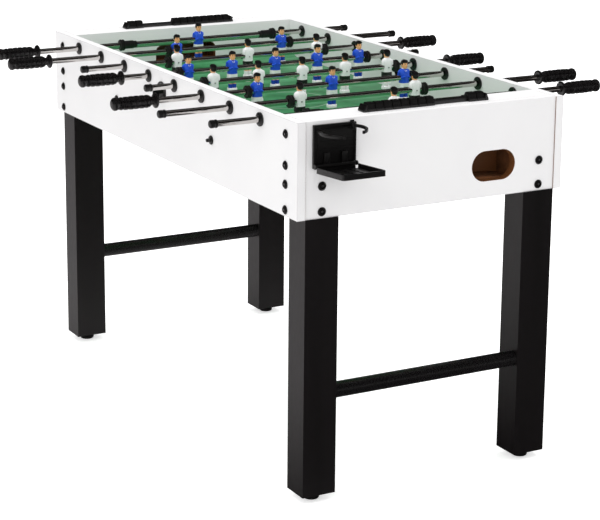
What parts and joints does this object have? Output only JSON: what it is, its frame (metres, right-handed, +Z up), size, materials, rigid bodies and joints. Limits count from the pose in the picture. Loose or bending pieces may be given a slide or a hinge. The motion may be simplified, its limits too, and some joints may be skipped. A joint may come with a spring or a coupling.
{
  "type": "foosball table",
  "caption": "Table football game: white laminated cabinet on black legs, steel player rods with handles, goals, ball returns, scorers and folding cup holders.",
  "frame": {"origin": "on the floor, below the middle of the table", "axes": "+X along the table to the end with the left-hand cup holder, +Y along the rods to the side where the white team's handles are, +Z up"},
  "size_m": [1.4432, 1.067, 0.787],
  "materials": {
    "white_laminate": "satin",
    "field_print": "satin",
    "raw_mdf": "matte",
    "black_laminate": "satin",
    "black_tube": "gloss",
    "black_plastic": "satin",
    "black_bolt": "satin",
    "steel_rod": "polished",
    "black_rubber": "matte",
    "blue_player": "gloss",
    "white_player": "gloss"
  },
  "bodies": {
    "table": {"side_panel_left": "white_laminate", "side_panel_right": "white_laminate", "end_panels": "white_laminate", "end_decks": "white_laminate", "goal_walls": "white_laminate", "playfield": "field_print", "ball_boxes": "raw_mdf", "inner_battens": "raw_mdf", "legs": "black_laminate", "stretchers": "black_tube", "rod_bushes": "black_plastic", "panel_fasteners": "black_bolt", "ball_entry_cups": "black_plastic", "scorer_rails": "black_plastic", "scorer_beads": "black_plastic", "cup_plates": "black_plastic"},
    "foot_near_left_body": {"foot_near_left": "black_plastic"},
    "foot_near_right_body": {"foot_near_right": "black_plastic"},
    "foot_far_left_body": {"foot_far_left": "black_plastic"},
    "foot_far_right_body": {"foot_far_right": "black_plastic"},
    "near_bead_body": {"near_bead": "black_plastic"},
    "far_bead_body": {"far_bead": "black_plastic"},
    "near_tray_body": {"near_cup_tray": "black_plastic"},
    "near_left_arm_body": {"near_left_arm": "black_plastic"},
    "near_right_arm_body": {"near_right_arm": "black_plastic"},
    "far_tray_body": {"far_cup_tray": "black_plastic"},
    "far_left_arm_body": {"far_left_arm": "black_plastic"},
    "far_right_arm_body": {"far_right_arm": "black_plastic"},
    "slider_1": {"bumpers_1": "black_rubber"},
    "player_rod_1": {"rod_1": "steel_rod", "players_1": "blue_player", "handle_1": "black_plastic"},
    "slider_2": {"bumpers_2": "black_rubber"},
    "player_rod_2": {"rod_2": "steel_rod", "players_2": "blue_player", "handle_2": "black_plastic"},
    "slider_3": {"bumpers_3": "black_rubber"},
    "player_rod_3": {"rod_3": "steel_rod", "players_3": "white_player", "handle_3": "black_plastic"},
    "slider_4": {"bumpers_4": "black_rubber"},
    "player_rod_4": {"rod_4": "steel_rod", "players_4": "blue_player", "handle_4": "black_plastic"},
    "slider_5": {"bumpers_5": "black_rubber"},
    "player_rod_5": {"rod_5": "steel_rod", "players_5": "white_player", "handle_5": "black_plastic"},
    "slider_6": {"bumpers_6": "black_rubber"},
    "player_rod_6": {"rod_6": "steel_rod", "players_6": "blue_player", "handle_6": "black_plastic"},
    "slider_7": {"bumpers_7": "black_rubber"},
    "player_rod_7": {"rod_7": "steel_rod", "players_7": "white_player", "handle_7": "black_plastic"},
    "slider_8": {"bumpers_8": "black_rubber"},
    "player_rod_8": {"rod_8": "steel_rod", "players_8": "white_player", "handle_8": "black_plastic"}
  },
  "joints": [
    {"name": "foot_near_left_screw", "type": "slide", "parent": "table", "child": "foot_near_left_body", "axis": [0, 0, -1], "range_m": [0, 0.01]},
    {"name": "foot_near_right_screw", "type": "slide", "parent": "table", "child": "foot_near_right_body", "axis": [0, 0, -1], "range_m": [0, 0.01]},
    {"name": "foot_far_left_screw", "type": "slide", "parent": "table", "child": "foot_far_left_body", "axis": [0, 0, -1], "range_m": [0, 0.01]},
    {"name": "foot_far_right_screw", "type": "slide", "parent": "table", "child": "foot_far_right_body", "axis": [0, 0, -1], "range_m": [0, 0.01]},
    {"name": "near_bead_slide", "type": "slide", "parent": "table", "child": "near_bead_body", "axis": [0, 1, 0], "range_m": [0, 0.0785]},
    {"name": "far_bead_slide", "type": "slide", "parent": "table", "child": "far_bead_body", "axis": [0, -1, 0], "range_m": [0, 0.0785]},
    {"name": "near_tray_fold", "type": "hinge", "parent": "table", "child": "near_tray_body", "pos_m": [0.6136, -0.226, 0.682], "axis": [0, -1, 0], "range_deg": [0, 66]},
    {"name": "near_left_arm_fold", "type": "hinge", "parent": "table", "child": "near_left_arm_body", "pos_m": [0.616, -0.26288, 0.75], "axis": [0, 0, 1], "range_deg": [0, 66]},
    {"name": "near_right_arm_fold", "type": "hinge", "parent": "table", "child": "near_right_arm_body", "pos_m": [0.616, -0.18912, 0.75], "axis": [0, 0, -1], "range_deg": [0, 66]},
    {"name": "far_tray_fold", "type": "hinge", "parent": "table", "child": "far_tray_body", "pos_m": [-0.6136, 0.226, 0.682], "axis": [0, 1, 0], "range_deg": [0, 66]},
    {"name": "far_left_arm_fold", "type": "hinge", "parent": "table", "child": "far_left_arm_body", "pos_m": [-0.616, 0.26288, 0.75], "axis": [0, 0, 1], "range_deg": [0, 66]},
    {"name": "far_right_arm_fold", "type": "hinge", "parent": "table", "child": "far_right_arm_body", "pos_m": [-0.616, 0.18912, 0.75], "axis": [0, 0, -1], "range_deg": [0, 66]},
    {"name": "rod_1_slide", "type": "slide", "parent": "table", "child": "slider_1", "axis": [0, 1, 0], "range_m": [-0.0785, 0.0745]},
    {"name": "rod_1_spin", "type": "hinge", "parent": "slider_1", "child": "player_rod_1", "pos_m": [-0.455, 0, 0.748], "axis": [0, 1, 0], "continuous": true},
    {"name": "rod_2_slide", "type": "slide", "parent": "table", "child": "slider_2", "axis": [0, 1, 0], "range_m": [-0.1385, 0.0965]},
    {"name": "rod_2_spin", "type": "hinge", "parent": "slider_2", "child": "player_rod_2", "pos_m": [-0.325, 0, 0.748], "axis": [0, 1, 0], "continuous": true},
    {"name": "rod_3_slide", "type": "slide", "parent": "table", "child": "slider_3", "axis": [0, 1, 0], "range_m": [-0.0775, 0.0735]},
    {"name": "rod_3_spin", "type": "hinge", "parent": "slider_3", "child": "player_rod_3", "pos_m": [-0.195, 0, 0.748], "axis": [0, 1, 0], "continuous": true},
    {"name": "rod_4_slide", "type": "slide", "parent": "table", "child": "slider_4", "axis": [0, 1, 0], "range_m": [-0.0435, 0.0355]},
    {"name": "rod_4_spin", "type": "hinge", "parent": "slider_4", "child": "player_rod_4", "pos_m": [-0.065, 0, 0.748], "axis": [0, 1, 0], "continuous": true},
    {"name": "rod_5_slide", "type": "slide", "parent": "table", "child": "slider_5", "axis": [0, 1, 0], "range_m": [-0.0405, 0.0385]},
    {"name": "rod_5_spin", "type": "hinge", "parent": "slider_5", "child": "player_rod_5", "pos_m": [0.065, 0, 0.748], "axis": [0, 1, 0], "continuous": true},
    {"name": "rod_6_slide", "type": "slide", "parent": "table", "child": "slider_6", "axis": [0, 1, 0], "range_m": [-0.0775, 0.0735]},
    {"name": "rod_6_spin", "type": "hinge", "parent": "slider_6", "child": "player_rod_6", "pos_m": [0.195, 0, 0.748], "axis": [0, 1, 0], "continuous": true},
    {"name": "rod_7_slide", "type": "slide", "parent": "table", "child": "slider_7", "axis": [0, 1, 0], "range_m": [-0.1075, 0.1275]},
    {"name": "rod_7_spin", "type": "hinge", "parent": "slider_7", "child": "player_rod_7", "pos_m": [0.325, 0, 0.748], "axis": [0, 1, 0], "continuous": true},
    {"name": "rod_8_slide", "type": "slide", "parent": "table", "child": "slider_8", "axis": [0, 1, 0], "range_m": [-0.0735, 0.0795]},
    {"name": "rod_8_spin", "type": "hinge", "parent": "slider_8", "child": "player_rod_8", "pos_m": [0.455, 0, 0.748], "axis": [0, 1, 0], "continuous": true}
  ],
  "couplings": [
    {"joint": "near_left_arm_fold", "follows": "near_tray_fold", "ratio": 1},
    {"joint": "near_right_arm_fold", "follows": "near_tray_fold", "ratio": 1},
    {"joint": "far_left_arm_fold", "follows": "far_tray_fold", "ratio": 1},
    {"joint": "far_right_arm_fold", "follows": "far_tray_fold", "ratio": 1}
  ]
}
